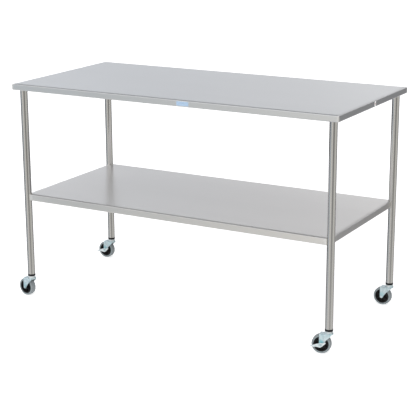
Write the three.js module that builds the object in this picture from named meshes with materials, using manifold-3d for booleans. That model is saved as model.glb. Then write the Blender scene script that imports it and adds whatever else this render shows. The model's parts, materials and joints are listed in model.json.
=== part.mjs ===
// A stainless steel work table on four swivel casters.
// Millimetres. +X runs along the table's length, +Y to its back, +Z up.
// The origin is on the floor under the middle of the object's box.

import * as THREE from "three";
import { mergeVertices } from "three/addons/utils/BufferGeometryUtils.js";
import Module from "manifold-3d";

// ---- driving dimensions -------------------------------------------------

const GAP = 0.3; // clearance between pieces that touch

// top and shelf
const TABLE_LENGTH = 1524; // 60 in
const TABLE_WIDTH = 720;
const TABLE_HEIGHT = 965; // 38 in, floor to work surface
const TOP_SHEET = 1.5; // 16 gauge
const TOP_SKIRT = 27;
const TOP_CORNER_RADIUS = 3;
const SKIRT_LIP = 11; // width of the inward return at the skirt's lower edge
const SHELF_HEIGHT = 475; // floor to shelf surface
const SHELF_SHEET = 1.2; // 18 gauge
const SHELF_SKIRT = 29;
const SHELF_LIP = 9;
const SHELF_PROUD_Y = 10; // shelf skirt outside the leg axes, front and back

// legs
const LEG_RADIUS = 15.9; // 1 1/4 in tube
const LEG_WALL = 1.2;
const LEG_INSET = 36; // leg axis inside the top's edges
const LEG_BOTTOM = 102.5; // floor to the open end of the tube

// leg socket under the top
const SOCKET_RADIUS = 27;
const SOCKET_PLATE = 3;
const SOCKET_SPIGOT = 30;

// stiffening channels
const CHANNEL_SHEET = 1.2;
const CHANNEL_HEIGHT = 20;
const CHANNEL_CROWN = 40;
const CHANNEL_FLANGE = 15;
const TOP_CHANNEL_LENGTH = 1400;
const TOP_CHANNEL_Y = 165;
const SHELF_CHANNEL_LENGTH = 1380;

// labels
const PLATE_WIDTH = 56;
const PLATE_HEIGHT = 18;
const LABEL_THICKNESS = 0.3;
const LABEL_GAP = 0.1;
const PLATE_X = 87;
const STICKER_WIDTH = 13;
const STICKER_HEIGHT = 21;

// caster
const WHEEL_RADIUS = 39.5; // 79 mm over the tread
const TREAD_HALF_WIDTH = 13;
const CORE_RADIUS = 31;
const HUB_HALF_WIDTH = 14.6;
const HUB_RADIUS = 11;
const CASTER_TRAIL = 28.5; // wheel axis behind the swivel axis
const FORK_SHEET = 2.4;
const FORK_INSIDE = 15.6; // half the space between the fork's legs
const CROWN_BOTTOM = 80.6;
const CROWN_RADIUS = 18.4;
const AXLE_RADIUS = 4;
const BUSH_RADIUS = 6.2;
const STEM_RADIUS = 5;
const COLLAR_HEIGHT = 7.5; // rubber ring between tube and caster
const COLLAR_RADIUS = 17;
const SLEEVE_LENGTH = 38; // rubber inside the tube
const RACE_RADIUS = 16.5;
const BALL_PITCH = 12;
const BALL_RADIUS = 2.6;
const FORK_BACK = -29; // ends of the fork's crown along X
const FORK_FRONT = 11;
const FORK_EYE = 7.2;
const NUT_HEIGHT = 5;
const NUT_RADIUS = 7; // across the corners
const BRAKE_SHEET = 2;
const BRAKE_CAM = 1.6; // thickness of the cam washer
const PEDAL_REACH = 43; // end of the pedal from the axle
const TAB_LENGTH = 24; // the pedal's foot tab
const TAB_REACH = 4.5;

// facets of the round pieces
const TUBE_FACETS = 24;
const RING_FACETS = 18;
const TYRE_FACETS = 32;
const CORE_FACETS = 20;
const SMALL_FACETS = 12;

// ---- places worked out from them ---------------------------------------

const LEG_X = TABLE_LENGTH / 2 - LEG_INSET;
const LEG_Y = TABLE_WIDTH / 2 - LEG_INSET;
const TOP_UNDERSIDE = TABLE_HEIGHT - TOP_SHEET;
const LEG_TOP = TOP_UNDERSIDE - GAP - SOCKET_PLATE - GAP;
const SHELF_UNDERSIDE = SHELF_HEIGHT - SHELF_SHEET;
const COLLAR_BOTTOM = LEG_BOTTOM - COLLAR_HEIGHT;
const SLEEVE_TOP = LEG_BOTTOM + SLEEVE_LENGTH;
const CROWN_TOP = CROWN_BOTTOM + FORK_SHEET;
const FORK_OUTSIDE = FORK_INSIDE + FORK_SHEET;
const TOP_MIDDLE_X = (LEG_X + CASTER_TRAIL + PEDAL_REACH - TABLE_LENGTH / 2) / 2;
const TURN = 2 * Math.PI;

// `swivel` is how many degrees a caster stands turned from straight back along -X
const CORNERS = [
  { tag: "front_left", x: -1, y: -1, swivel: -8, brake: false },
  { tag: "front_right", x: 1, y: -1, swivel: 11, brake: true },
  { tag: "back_left", x: -1, y: 1, swivel: 0, brake: true },
  { tag: "back_right", x: 1, y: 1, swivel: 0, brake: false },
];

// ---- materials ----------------------------------------------------------

function material(color, roughness, metalness) {
  return new THREE.MeshStandardMaterial({ color, roughness, metalness });
}

const LOOKS = {
  brushedSheet: material(0xc9c9cb, 0.42, 1),
  satinTube: material(0xb4b4b0, 0.3, 1),
  zinc: material(0xb9cdd6, 0.35, 1),
  steel: material(0x9aa0a2, 0.35, 1),
  greyTread: material(0x8b9092, 0.75, 0),
  blackPlastic: material(0x141416, 0.45, 0),
  blackRubber: material(0x101112, 0.7, 0),
  bluePlate: material(0xa9c6e6, 0.4, 0),
  whitePaper: material(0xf0f0ee, 0.6, 0),
};

// ---- solids -------------------------------------------------------------

const wasm = await Module();
wasm.setup();

// a geometry's surface as a solid that can be joined and cut
function toSolid(geometry) {
  const bare = geometry.clone();
  bare.deleteAttribute("normal");
  bare.deleteAttribute("uv");
  const merged = mergeVertices(bare, 1e-3);
  return new wasm.Manifold(
    new wasm.Mesh({
      numProp: 3,
      vertProperties: merged.attributes.position.array,
      triVerts: new Uint32Array(merged.index.array),
    }),
  );
}

function toGeometry(solid) {
  const mesh = solid.getMesh();
  const geometry = new THREE.BufferGeometry();
  geometry.setAttribute("position", new THREE.BufferAttribute(mesh.vertProperties, 3));
  geometry.setIndex(new THREE.BufferAttribute(mesh.triVerts, 1));
  geometry.computeVertexNormals();
  return geometry;
}

// a flat outline raised from one height to another
function prism(shape, bottom, top) {
  const options = { depth: top - bottom, bevelEnabled: false, curveSegments: 5 };
  return new THREE.ExtrudeGeometry(shape, options).translate(0, 0, bottom);
}

// an outline drawn in X and Z, extruded along Y from `front` to `back`
function uprightPrism(shape, front, back) {
  const options = { depth: back - front, bevelEnabled: false, curveSegments: 6 };
  const geometry = new THREE.ExtrudeGeometry(shape, options);
  return geometry.rotateX(Math.PI / 2).translate(0, back, 0);
}

// a round piece on an upright axis: points are [radius, height]
function turned(points, facets = SMALL_FACETS) {
  const profile = points.map(([radius, height]) => new THREE.Vector2(radius, height));
  return new THREE.LatheGeometry(profile, facets).rotateX(Math.PI / 2);
}

// a round piece on an axis along Y, with a flat facet downwards: points are [radius, y]
function wheelTurned(points, facets) {
  const profile = points.map(([radius, y]) => new THREE.Vector2(radius, y));
  return new THREE.LatheGeometry(profile, facets, Math.PI / facets, TURN);
}

// the profile of a plain ring, closed on itself
function ringProfile(inner, outer, low, high) {
  return [
    [inner, low],
    [outer, low],
    [outer, high],
    [inner, high],
    [inner, low],
  ];
}

function roundedRectangle(length, width, radius) {
  const x = length / 2;
  const y = width / 2;
  const shape = new THREE.Shape();
  shape.moveTo(-x + radius, -y);
  shape.lineTo(x - radius, -y);
  shape.absarc(x - radius, -y + radius, radius, -Math.PI / 2, 0);
  shape.lineTo(x, y - radius);
  shape.absarc(x - radius, y - radius, radius, 0, Math.PI / 2);
  shape.lineTo(-x + radius, y);
  shape.absarc(-x + radius, y - radius, radius, Math.PI / 2, Math.PI);
  shape.lineTo(-x, -y + radius);
  shape.absarc(-x + radius, -y + radius, radius, Math.PI, 1.5 * Math.PI);
  return shape;
}

// ---- top and shelf ------------------------------------------------------

// a sheet pan open below: a flat face, a skirt turned down, and a lip turned in
function pan(outlineAt, height, skirt, sheet, lip) {
  const bottom = height - skirt;
  const body = toSolid(prism(outlineAt(0), bottom, height));
  const hollow = toSolid(prism(outlineAt(sheet), bottom + sheet, height - sheet));
  const mouth = toSolid(prism(outlineAt(lip), bottom - 1, bottom + 2 * sheet));
  return toGeometry(body.subtract(hollow.add(mouth)));
}

function tableTop() {
  const outlineAt = (inset) =>
    roundedRectangle(
      TABLE_LENGTH - 2 * inset,
      TABLE_WIDTH - 2 * inset,
      Math.max(TOP_CORNER_RADIUS - inset, 1),
    );
  return pan(outlineAt, TABLE_HEIGHT, TOP_SKIRT, TOP_SHEET, SKIRT_LIP);
}

// The shelf's corners are notched to fit round the legs.
function shelf() {
  const length = 2 * LEG_X;
  const width = 2 * (LEG_Y + SHELF_PROUD_Y);
  const outlineAt = (inset) => roundedRectangle(length - 2 * inset, width - 2 * inset, 1);
  const sheet = pan(outlineAt, SHELF_HEIGHT, SHELF_SKIRT, SHELF_SHEET, SHELF_LIP);
  const notchRadius = LEG_RADIUS + GAP;
  const notchBottom = SHELF_HEIGHT - SHELF_SKIRT - 1;
  const notchTop = SHELF_HEIGHT + 1;
  const notch = turned(
    [
      [0, notchBottom],
      [notchRadius, notchBottom],
      [notchRadius, notchTop],
      [0, notchTop],
    ],
    TUBE_FACETS,
  );
  let solid = toSolid(sheet);
  for (const corner of CORNERS) {
    const place = [corner.x * LEG_X, corner.y * LEG_Y, 0];
    solid = solid.subtract(toSolid(notch).translate(place));
  }
  return toGeometry(solid);
}

// a hat channel along X, its two flanges against the sheet above it
function hatChannel(length, ceiling) {
  const t = CHANNEL_SHEET;
  const half = CHANNEL_CROWN / 2;
  const wide = half + CHANNEL_FLANGE;
  const low = ceiling - CHANNEL_HEIGHT;
  const section = new THREE.Shape();
  section.moveTo(-wide, ceiling);
  section.lineTo(-wide, ceiling - t);
  section.lineTo(-half, ceiling - t);
  section.lineTo(-half, low);
  section.lineTo(half, low);
  section.lineTo(half, ceiling - t);
  section.lineTo(wide, ceiling - t);
  section.lineTo(wide, ceiling);
  section.lineTo(half - t, ceiling);
  section.lineTo(half - t, low + t);
  section.lineTo(-half + t, low + t);
  section.lineTo(-half + t, ceiling);
  section.closePath();
  return uprightPrism(section, -length / 2, length / 2).rotateZ(-Math.PI / 2);
}

// ---- legs ---------------------------------------------------------------

function leg() {
  const inner = LEG_RADIUS - LEG_WALL;
  return turned(ringProfile(inner, LEG_RADIUS, LEG_BOTTOM + GAP, LEG_TOP), TUBE_FACETS);
}

// a round plate under the top with a spigot that the tube slides over
function legSocket() {
  const plateTop = TOP_UNDERSIDE - GAP;
  const plateBottom = plateTop - SOCKET_PLATE;
  const spigot = LEG_RADIUS - LEG_WALL - GAP;
  const bottom = plateBottom - SOCKET_SPIGOT;
  return turned(
    [
      [0, bottom],
      [spigot - 1, bottom],
      [spigot, bottom + 2],
      [spigot, plateBottom],
      [SOCKET_RADIUS, plateBottom],
      [SOCKET_RADIUS, plateTop],
      [0, plateTop],
    ],
    TUBE_FACETS,
  );
}

// ---- caster, drawn about its swivel axis with the wheel towards -X ------

// rubber expander in the tube, with the ring that shows below the tube
function casterSleeve() {
  const plug = LEG_RADIUS - LEG_WALL - 2 * GAP;
  const bore = STEM_RADIUS + GAP;
  const top = SLEEVE_TOP;
  return turned(
    [
      [bore, COLLAR_BOTTOM],
      [COLLAR_RADIUS, COLLAR_BOTTOM],
      [COLLAR_RADIUS, LEG_BOTTOM],
      [plug, LEG_BOTTOM],
      [plug, top],
      [bore, top],
      [bore, COLLAR_BOTTOM],
    ],
    RING_FACETS,
  );
}

// the king bolt: head under the fork's crown, shank through the race and the
// sleeve, and the nut that squeezes the sleeve inside the tube
function casterStem() {
  const headTop = CROWN_BOTTOM - GAP;
  const nutBottom = SLEEVE_TOP + GAP;
  return turned([
    [0, headTop - 5.5],
    [6, headTop - 5.5],
    [8.5, headTop - 4],
    [8.5, headTop],
    [STEM_RADIUS, headTop],
    [STEM_RADIUS, nutBottom],
    [9, nutBottom],
    [9, nutBottom + 7],
    [STEM_RADIUS, nutBottom + 8],
    [STEM_RADIUS, nutBottom + 12],
    [0, nutBottom + 12],
  ]);
}

// fixed upper race: a pressed cup over the balls
function upperRace() {
  const top = COLLAR_BOTTOM - GAP;
  const bore = STEM_RADIUS + GAP;
  const rim = CROWN_TOP + 1.6;
  const groove = CROWN_TOP + 2 * (BALL_RADIUS + GAP);
  return turned(
    [
      [bore, rim],
      [BALL_PITCH - 4, rim],
      [BALL_PITCH - 4, groove],
      [BALL_PITCH + 3.4, groove],
      [BALL_PITCH + 3.4, rim],
      [RACE_RADIUS, rim],
      [RACE_RADIUS, top - 2],
      [RACE_RADIUS - 1.6, top],
      [bore, top],
      [bore, rim],
    ],
    RING_FACETS,
  );
}

// the balls, as the ring they fill between the two races
function ballRing() {
  const middle = CROWN_TOP + GAP + BALL_RADIUS;
  const points = [];
  for (let i = 0; i <= 6; i += 1) {
    const turn = (i % 6) * (TURN / 6);
    points.push([
      BALL_PITCH + BALL_RADIUS * Math.cos(turn),
      middle + BALL_RADIUS * Math.sin(turn),
    ]);
  }
  return turned(points);
}

// One leg of the fork, seen from the side: wide under the crown, tapering to a
// round eye at the axle, its front edge a little hollow.
function forkLegOutline() {
  const shoulder = CROWN_BOTTOM - 5;
  const slope = Math.atan2(shoulder - WHEEL_RADIUS, FORK_FRONT + CASTER_TRAIL - FORK_EYE);
  const shape = new THREE.Shape();
  shape.moveTo(FORK_BACK, CROWN_TOP);
  shape.lineTo(FORK_BACK, shoulder);
  shape.lineTo(-CASTER_TRAIL - FORK_EYE, WHEEL_RADIUS);
  shape.absarc(-CASTER_TRAIL, WHEEL_RADIUS, FORK_EYE, Math.PI, 1.5 * Math.PI + slope);
  shape.quadraticCurveTo(-9.5, shoulder - 15, FORK_FRONT, shoulder);
  shape.lineTo(FORK_FRONT, CROWN_TOP);
  shape.closePath();
  return shape;
}

// a pressed crown with a raised rim round the race, bent down into two legs
function casterFork() {
  const rim = CROWN_TOP + 4;
  const crown = turned(
    [
      [0, CROWN_BOTTOM],
      [CROWN_RADIUS - 1, CROWN_BOTTOM],
      [CROWN_RADIUS, CROWN_BOTTOM + 1],
      [CROWN_RADIUS, rim],
      [RACE_RADIUS + 1, rim],
      [RACE_RADIUS + 1, CROWN_TOP],
      [0, CROWN_TOP],
    ],
    RING_FACETS,
  );
  const bridgeLength = FORK_FRONT - FORK_BACK;
  const bridge = new THREE.BoxGeometry(bridgeLength, 2 * FORK_OUTSIDE, FORK_SHEET);
  bridge.translate(FORK_BACK + bridgeLength / 2, 0, CROWN_BOTTOM + FORK_SHEET / 2);
  const king = turned([
    [0, CROWN_BOTTOM - 5],
    [STEM_RADIUS + GAP, CROWN_BOTTOM - 5],
    [STEM_RADIUS + GAP, CROWN_TOP + 5],
    [0, CROWN_TOP + 5],
  ]);
  const well = turned([
    [0, CROWN_TOP],
    [RACE_RADIUS + 1, CROWN_TOP],
    [RACE_RADIUS + 1, rim + 1],
    [0, rim + 1],
  ], RING_FACETS);
  const axle = atAxle(
    wheelTurned([[0, -30], [AXLE_RADIUS + GAP, -30], [AXLE_RADIUS + GAP, 30], [0, 30]], SMALL_FACETS),
  );
  const frontLeg = uprightPrism(forkLegOutline(), -FORK_OUTSIDE, -FORK_INSIDE);
  const backLeg = uprightPrism(forkLegOutline(), FORK_INSIDE, FORK_OUTSIDE);
  const added = [bridge, frontLeg, backLeg].reduce(
    (body, piece) => body.add(toSolid(piece)),
    toSolid(crown),
  );
  const cut = toSolid(king).add(toSolid(axle)).add(toSolid(well));
  return toGeometry(added.subtract(cut));
}

function atAxle(geometry) {
  return geometry.translate(-CASTER_TRAIL, 0, WHEEL_RADIUS);
}

// ---- wheel, drawn about its own axle ------------------------------------

function wheelTyre() {
  const outer = WHEEL_RADIUS / Math.cos(Math.PI / TYRE_FACETS);
  const inner = CORE_RADIUS + GAP;
  const side = TREAD_HALF_WIDTH;
  return wheelTurned(
    [
      [inner, -side],
      [outer - 3, -side],
      [outer, -side + 4],
      [outer, side - 4],
      [outer - 3, side],
      [inner, side],
      [inner, -side],
    ],
    TYRE_FACETS,
  );
}

// moulded core: a rim and a hub joined by a thin web
function wheelCore() {
  const bore = BUSH_RADIUS + GAP;
  const rim = TREAD_HALF_WIDTH - 0.6;
  const rimInner = CORE_RADIUS - 4.5;
  const web = 4;
  return wheelTurned(
    [
      [bore, -HUB_HALF_WIDTH],
      [HUB_RADIUS, -HUB_HALF_WIDTH],
      [HUB_RADIUS + 1, -web],
      [rimInner, -web],
      [rimInner + 0.5, -rim],
      [CORE_RADIUS, -rim],
      [CORE_RADIUS, rim],
      [rimInner + 0.5, rim],
      [rimInner, web],
      [HUB_RADIUS + 1, web],
      [HUB_RADIUS, HUB_HALF_WIDTH],
      [bore, HUB_HALF_WIDTH],
      [bore, -HUB_HALF_WIDTH],
    ],
    CORE_FACETS,
  );
}

// steel sleeve clamped between the fork's legs, on which the core turns
function wheelBush() {
  const half = FORK_INSIDE - GAP;
  return wheelTurned(ringProfile(AXLE_RADIUS + GAP, BUSH_RADIUS, -half, half), SMALL_FACETS);
}

// how far the bolt's head stands out from the middle of the wheel
function headSeat(brake) {
  const plain = FORK_OUTSIDE + GAP;
  return brake ? plain + BRAKE_CAM + GAP + BRAKE_SHEET + GAP : plain;
}

function axleBolt(brake) {
  const seat = -headSeat(brake);
  const end = FORK_OUTSIDE + GAP + NUT_HEIGHT + 2;
  return wheelTurned(
    [
      [0, seat - 3.2],
      [4.5, seat - 3],
      [6, seat - 1.8],
      [6, seat],
      [AXLE_RADIUS, seat],
      [AXLE_RADIUS, end - 1],
      [AXLE_RADIUS - 1, end],
      [0, end],
    ],
    SMALL_FACETS,
  );
}

function axleNut() {
  const seat = FORK_OUTSIDE + GAP;
  const shape = new THREE.Shape();
  for (let i = 0; i < 6; i += 1) {
    const turn = (i / 6) * TURN;
    const x = NUT_RADIUS * Math.cos(turn);
    const z = NUT_RADIUS * Math.sin(turn);
    if (i === 0) shape.moveTo(x, z);
    else shape.lineTo(x, z);
  }
  const bore = new THREE.Path();
  bore.absarc(0, 0, AXLE_RADIUS + GAP, 0, TURN, true);
  shape.holes.push(bore);
  return uprightPrism(shape, seat, seat + NUT_HEIGHT);
}

// ---- brake --------------------------------------------------------------

// a ramped washer against the fork: turning the lever over it draws the
// fork's legs in against the wheel's hub
function brakeCam() {
  const seat = -FORK_OUTSIDE - GAP - BRAKE_CAM;
  return wheelTurned(ringProfile(AXLE_RADIUS + GAP, 8.5, seat, seat + BRAKE_CAM), SMALL_FACETS);
}

// A lever plate bent like a boomerang on the axle bolt: a short wing up to the
// right and a pedal to the left, with its lower edge turned out as a foot tab.
function brakeLever() {
  const outer = -FORK_OUTSIDE - 2 * GAP - BRAKE_CAM - BRAKE_SHEET;
  const shape = new THREE.Shape();
  shape.moveTo(-PEDAL_REACH, -8.5);
  shape.lineTo(-12, -10);
  shape.quadraticCurveTo(-1, -12.5, 8, -5);
  shape.lineTo(20.5, 8);
  shape.quadraticCurveTo(21.5, 11, 19, 13);
  shape.lineTo(8, 8);
  shape.quadraticCurveTo(0, 9.5, -8, 6);
  shape.lineTo(-20, 2);
  shape.lineTo(-33, -4);
  shape.lineTo(-PEDAL_REACH, -5.5);
  shape.closePath();
  const plate = uprightPrism(shape, outer, outer + BRAKE_SHEET);
  const tab = new THREE.BoxGeometry(TAB_LENGTH, TAB_REACH + BRAKE_SHEET, BRAKE_SHEET);
  tab.translate(
    TAB_LENGTH / 2 - PEDAL_REACH,
    outer + (BRAKE_SHEET - TAB_REACH) / 2,
    -8.5 + BRAKE_SHEET / 2,
  );
  const hole = wheelTurned(
    [[0, -30], [AXLE_RADIUS + GAP, -30], [AXLE_RADIUS + GAP, 0], [0, 0]],
    SMALL_FACETS,
  );
  return toGeometry(toSolid(plate).add(toSolid(tab)).subtract(toSolid(hole)));
}

// ---- assembly -----------------------------------------------------------

const part = new THREE.Group();

// the casters trail past the top's left end, so the middle of the whole
// object's box is a little to the left of the middle of the top
const table = new THREE.Group();
table.position.x = TOP_MIDDLE_X;
part.add(table);

function place(parent, name, geometry, look, position = [0, 0, 0]) {
  const mesh = new THREE.Mesh(geometry, look);
  mesh.name = name;
  mesh.position.set(...position);
  parent.add(mesh);
}

place(table, "table_top", tableTop(), LOOKS.brushedSheet);
place(table, "shelf", shelf(), LOOKS.brushedSheet);

const topChannel = () => hatChannel(TOP_CHANNEL_LENGTH, TOP_UNDERSIDE - GAP);
place(table, "top_channel_front", topChannel(), LOOKS.steel, [0, -TOP_CHANNEL_Y, 0]);
place(table, "top_channel_back", topChannel(), LOOKS.steel, [0, TOP_CHANNEL_Y, 0]);
const shelfChannel = hatChannel(SHELF_CHANNEL_LENGTH, SHELF_UNDERSIDE - GAP);
place(table, "shelf_channel", shelfChannel, LOOKS.steel);

const makerPlate = new THREE.BoxGeometry(PLATE_WIDTH, LABEL_THICKNESS, PLATE_HEIGHT);
place(table, "maker_plate", makerPlate, LOOKS.bluePlate, [
  PLATE_X,
  -TABLE_WIDTH / 2 - LABEL_GAP - LABEL_THICKNESS / 2,
  TABLE_HEIGHT - TOP_SKIRT / 2,
]);
const sticker = new THREE.BoxGeometry(LABEL_THICKNESS, STICKER_WIDTH, STICKER_HEIGHT);
place(table, "end_sticker", sticker, LOOKS.whitePaper, [
  TABLE_LENGTH / 2 + LABEL_GAP + LABEL_THICKNESS / 2,
  0,
  TABLE_HEIGHT - TOP_SKIRT / 2,
]);

for (const corner of CORNERS) {
  const stand = new THREE.Group();
  stand.position.set(corner.x * LEG_X, corner.y * LEG_Y, 0);
  table.add(stand);
  place(stand, `leg_${corner.tag}`, leg(), LOOKS.satinTube);
  place(stand, `leg_socket_${corner.tag}`, legSocket(), LOOKS.steel);
  place(stand, `caster_sleeve_${corner.tag}`, casterSleeve(), LOOKS.blackRubber);
  place(stand, `caster_stem_${corner.tag}`, casterStem(), LOOKS.steel);
  place(stand, `upper_race_${corner.tag}`, upperRace(), LOOKS.steel);

  const swivel = new THREE.Group();
  swivel.rotation.z = THREE.MathUtils.degToRad(corner.swivel);
  stand.add(swivel);
  place(swivel, `ball_ring_${corner.tag}`, ballRing(), LOOKS.steel);
  place(swivel, `fork_${corner.tag}`, casterFork(), LOOKS.zinc);

  const wheel = new THREE.Group();
  wheel.position.set(-CASTER_TRAIL, 0, WHEEL_RADIUS);
  swivel.add(wheel);
  place(wheel, `wheel_bush_${corner.tag}`, wheelBush(), LOOKS.steel);
  place(wheel, `axle_bolt_${corner.tag}`, axleBolt(corner.brake), LOOKS.zinc);
  place(wheel, `axle_nut_${corner.tag}`, axleNut(), LOOKS.zinc);
  place(wheel, `wheel_core_${corner.tag}`, wheelCore(), LOOKS.blackPlastic);
  place(wheel, `tyre_${corner.tag}`, wheelTyre(), LOOKS.greyTread);
  if (corner.brake) {
    place(wheel, `brake_cam_${corner.tag}`, brakeCam(), LOOKS.steel);
    place(wheel, `brake_lever_${corner.tag}`, brakeLever(), LOOKS.zinc);
  }
}

export default part;
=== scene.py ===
"""Looks of a stainless steel work table on casters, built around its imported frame.

Metres, in the row's frame: +X along the table, +Y to its back, +Z up.
A caster's pieces are first made in the caster's own frame: its swivel axis is Z,
its wheel trails towards -X, and the floor is at z = 0.
"""

import json
import math
import random

import bmesh
import bpy
from mathutils import Matrix, Vector


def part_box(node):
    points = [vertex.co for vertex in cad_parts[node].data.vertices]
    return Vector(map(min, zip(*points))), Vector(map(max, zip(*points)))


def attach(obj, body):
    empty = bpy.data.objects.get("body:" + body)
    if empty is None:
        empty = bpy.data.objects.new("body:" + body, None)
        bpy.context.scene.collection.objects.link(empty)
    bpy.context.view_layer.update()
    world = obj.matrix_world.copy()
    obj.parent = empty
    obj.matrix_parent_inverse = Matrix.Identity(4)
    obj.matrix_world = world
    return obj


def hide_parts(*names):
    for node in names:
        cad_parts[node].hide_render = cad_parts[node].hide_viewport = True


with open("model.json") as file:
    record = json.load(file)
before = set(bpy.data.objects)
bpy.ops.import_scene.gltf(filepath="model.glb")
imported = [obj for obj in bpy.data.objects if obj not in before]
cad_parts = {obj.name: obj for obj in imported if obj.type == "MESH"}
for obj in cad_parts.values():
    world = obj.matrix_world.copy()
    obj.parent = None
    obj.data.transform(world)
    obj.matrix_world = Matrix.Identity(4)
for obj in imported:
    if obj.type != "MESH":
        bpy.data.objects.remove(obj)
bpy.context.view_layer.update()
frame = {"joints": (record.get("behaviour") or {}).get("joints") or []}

MM = 0.001
TURN = 2 * math.pi
CLEARANCE = 0.3 * MM  # between neighbouring parts that don't touch
random.seed(7)

# ---- places and sizes from the frame ----

JOINTS = {joint["name"]: joint for joint in frame["joints"]}
CORNERS = ["front_left", "front_right", "back_left", "back_right"]
BRAKED = [tag for tag in CORNERS if f"brake_{tag}_press" in JOINTS]
SQUARE = "back_left"  # a caster that stands square to the table and has a brake

top_low, top_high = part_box("table_top")
shelf_low, shelf_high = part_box("shelf")
TOP_MIDDLE = Vector(((top_low.x + top_high.x) / 2, 0, 0))
TABLE_LENGTH = top_high.x - top_low.x
TABLE_WIDTH = top_high.y - top_low.y


def swivel_point(tag):
    """The foot of a caster's swivel axis, on the floor."""
    x, y, _ = JOINTS[f"swivel_{tag}_turn"]["pos_m"]
    return Vector((x, y, 0))


def caster_frame(tag):
    """From a caster's own frame to the row's."""
    axis = JOINTS[f"wheel_{tag}_spin"]["axis"]
    angle = math.atan2(-axis[0], axis[1])
    return Matrix.Translation(swivel_point(tag)) @ Matrix.Rotation(angle, 4, "Z")


def square_box(kind):
    """A caster node's corners in the caster's own frame."""
    low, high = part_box(f"{kind}_{SQUARE}")
    origin = swivel_point(SQUARE)
    return low - origin, high - origin


def half_size(kind):
    low, high = square_box(kind)
    return (high - low) / 2


wheel_centre = Vector(JOINTS[f"wheel_{SQUARE}_spin"]["pos_m"]) - swivel_point(SQUARE)
AXLE_X = wheel_centre.x
AXLE_Z = wheel_centre.z
LEG_RADIUS = (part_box("leg_back_left")[1].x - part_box("leg_back_left")[0].x) / 2


# ---- shader building ----


class Shading:
    """A node tree under construction. A source is a socket, a number or a colour."""

    def __init__(self, tree):
        self.tree = tree
        tree.nodes.clear()

    def add(self, kind, **settings):
        node = self.tree.nodes.new(kind)
        for name, value in settings.items():
            setattr(node, name, value)
        return node

    def link(self, source, node, socket):
        if isinstance(source, (int, float, tuple)):
            node.inputs[socket].default_value = source
        else:
            self.tree.links.new(source, node.inputs[socket])

    def spread(self, value, low=0, high=1, start=0.3, end=0.7, curve="LINEAR"):
        """Maps start..end of a value onto low..high."""
        node = self.add("ShaderNodeMapRange", interpolation_type=curve)
        for socket, source in enumerate((value, start, end, low, high)):
            self.link(source, node, socket)
        return node.outputs["Result"]

    def math(self, operation, *sources):
        node = self.add("ShaderNodeMath", operation=operation)
        for socket, source in enumerate(sources):
            self.link(source, node, socket)
        return node.outputs["Value"]

    def mix(self, share, a, b):
        """Two colours mixed by a share from 0 to 1."""
        node = self.add("ShaderNodeMix", data_type="RGBA")
        self.link(share, node, 0)
        for socket, colour in ((6, a), (7, b)):
            self.link((*colour, 1) if isinstance(colour, tuple) else colour, node, socket)
        return node.outputs[2]


class Look(Shading):
    """A Principled material under construction."""

    def __init__(self, name, **values):
        self.material = bpy.data.materials.new(name)
        self.material.use_nodes = True
        super().__init__(self.material.node_tree)
        output = self.add("ShaderNodeOutputMaterial")
        self.shader = self.add("ShaderNodeBsdfPrincipled")
        self.tree.links.new(self.shader.outputs["BSDF"], output.inputs["Surface"])
        for socket, value in values.items():
            self.shader.inputs[socket.replace("_", " ")].default_value = value

    def object_place(self):
        return self.add("ShaderNodeTexCoord").outputs["Object"]

    def grain_place(self):
        """(along the grain, across it), in metres, with the bends unrolled."""
        return self.add("ShaderNodeUVMap", uv_map="grain").outputs["UV"]

    def attribute(self, name):
        return self.add("ShaderNodeAttribute", attribute_name=name).outputs["Fac"]

    def noise(self, place, scale, stretch=(1, 1, 1), detail=3.0, roughness=0.55):
        mapping = self.add("ShaderNodeMapping")
        self.link(place, mapping, "Vector")
        mapping.inputs["Scale"].default_value = [scale * s for s in stretch]
        texture = self.add("ShaderNodeTexNoise", noise_dimensions="3D")
        texture.inputs["Scale"].default_value = 1.0
        texture.inputs["Detail"].default_value = detail
        texture.inputs["Roughness"].default_value = roughness
        self.link(mapping.outputs["Vector"], texture, "Vector")
        return texture.outputs["Fac"]

    def bump(self, height, distance, strength):
        node = self.add("ShaderNodeBump")
        node.inputs["Strength"].default_value = strength
        node.inputs["Distance"].default_value = distance
        self.link(height, node, "Height")
        return node.outputs["Normal"]

    def along_grain(self):
        tangent = self.add("ShaderNodeTangent", direction_type="UV_MAP", uv_map="grain")
        self.link(tangent.outputs["Tangent"], self.shader, "Tangent")

    def finished(self, colour, roughness, normal):
        """The material, with what its shader takes."""
        self.link(colour, self.shader, "Base Color")
        self.link(roughness, self.shader, "Roughness")
        self.link(normal, self.shader, "Normal")
        return self.material


def grey(value, warm=0.0):
    """A grey, warmer (positive) or bluer (negative)."""
    return (value * (1 + warm), value, value * (1 - warm))


# ---- materials ----


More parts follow.
